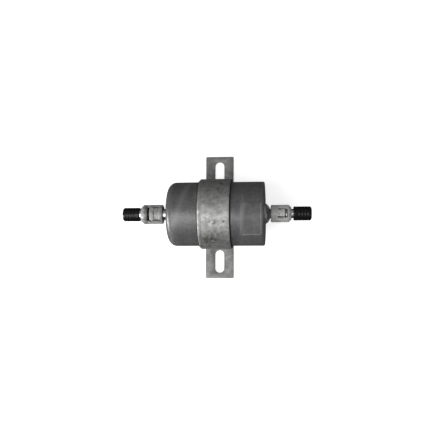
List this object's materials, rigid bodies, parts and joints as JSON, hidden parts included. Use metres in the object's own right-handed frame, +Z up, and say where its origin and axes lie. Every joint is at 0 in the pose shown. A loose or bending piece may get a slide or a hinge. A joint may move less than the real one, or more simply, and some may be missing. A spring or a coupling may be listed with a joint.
{
  "type": "in-line fuel filter with bracket",
  "caption": "In-line fuel filter: steel canister held by a sheet-metal band on a slotted mounting plate, with quick-connect tubes, plastic retainers and push-on caps.",
  "frame": {"origin": "middle of the slot pattern on the underside of the mounting plate", "axes": "+Z up out of the plate towards the canister, +X along the canister from the domed inlet end to the flat outlet end, +Y along the plate through both slots"},
  "size_m": [0.1634, 0.11, 0.0618],
  "materials": {
    "galvanised_steel": "matt mottled zinc coating on sheet steel",
    "canister_paint": "dark grey semi-gloss coating on drawn steel",
    "boss_steel": "dark coating over a turned and brazed steel boss",
    "tube_steel": "bright zinc-plated tube",
    "liner_rubber": "black rubber strip",
    "seal_rubber": "black fuel-resistant rubber",
    "retainer_plastic": "natural off-white moulded nylon",
    "cap_vinyl": "soft black dipped vinyl",
    "label_film": "thin dark grey blank film label",
    "filter_paper": "resin-treated pleated paper",
    "element_steel": "tin-plated thin sheet",
    "potting": "set plastisol adhesive",
    "spring_steel": "plain spring wire"
  },
  "bodies": {
    "housing": {"mounting_plate": "galvanised_steel", "clamp_band": "galvanised_steel", "band_liner": "liner_rubber", "can_shell": "canister_paint", "data_label": "label_film", "end_cover": "canister_paint", "cover_seal": "seal_rubber", "outlet_boss": "boss_steel", "inlet_collar": "tube_steel", "inlet_tube": "tube_steel", "outlet_tube": "tube_steel", "load_spring": "spring_steel"},
    "element": {"filter_paper": "filter_paper", "outer_screen": "element_steel", "centre_tube": "element_steel", "closed_end_cap": "element_steel", "closed_end_potting": "potting", "open_end_cap": "element_steel", "open_end_potting": "potting", "outlet_grommet": "seal_rubber"},
    "inlet_retainer": {"inlet_retainer": "retainer_plastic"},
    "inlet_finger_front": {"inlet_finger_front": "retainer_plastic"},
    "inlet_finger_back": {"inlet_finger_back": "retainer_plastic"},
    "outlet_retainer": {"outlet_retainer": "retainer_plastic"},
    "outlet_finger_front": {"outlet_finger_front": "retainer_plastic"},
    "outlet_finger_back": {"outlet_finger_back": "retainer_plastic"},
    "inlet_cap": {"inlet_cap": "cap_vinyl"},
    "outlet_cap": {"outlet_cap": "cap_vinyl"}
  },
  "joints": [
    {"name": "element_float", "type": "slide", "parent": "housing", "child": "element", "axis": [-1, 0, 0], "range_m": [0, 0.0015], "stiffness_N_per_m": 1500, "springref_m": -0.0035, "deforming": ["load_spring"]},
    {"name": "inlet_retainer_swivel", "type": "hinge", "parent": "housing", "child": "inlet_retainer", "pos_m": [-0.0545, 0, 0.0316], "axis": [1, 0, 0], "continuous": true},
    {"name": "inlet_front_release", "type": "hinge", "parent": "inlet_retainer", "child": "inlet_finger_front", "pos_m": [-0.0475, 0, 0.0347], "axis": [0, -1, 0], "range_deg": [0, 6], "stiffness_Nm_per_rad": 0.5},
    {"name": "inlet_back_release", "type": "hinge", "parent": "inlet_retainer", "child": "inlet_finger_back", "pos_m": [-0.0475, 0, 0.0285], "axis": [0, 1, 0], "range_deg": [0, 6], "stiffness_Nm_per_rad": 0.5},
    {"name": "outlet_retainer_swivel", "type": "hinge", "parent": "housing", "child": "outlet_retainer", "pos_m": [0.056, 0, 0.0316], "axis": [1, 0, 0], "continuous": true},
    {"name": "outlet_front_release", "type": "hinge", "parent": "outlet_retainer", "child": "outlet_finger_front", "pos_m": [0.0532, 0, 0.03618], "axis": [0, 1, 0], "range_deg": [0, 8], "stiffness_Nm_per_rad": 0.3},
    {"name": "outlet_back_release", "type": "hinge", "parent": "outlet_retainer", "child": "outlet_finger_back", "pos_m": [0.0532, 0, 0.02701], "axis": [0, -1, 0], "range_deg": [0, 8], "stiffness_Nm_per_rad": 0.3},
    {"name": "inlet_cap_pull", "type": "slide", "parent": "housing", "child": "inlet_cap", "axis": [-1, 0, 0], "range_m": [0, 0.02]},
    {"name": "outlet_cap_pull", "type": "slide", "parent": "housing", "child": "outlet_cap", "axis": [1, 0, 0], "range_m": [0, 0.02]}
  ]
}
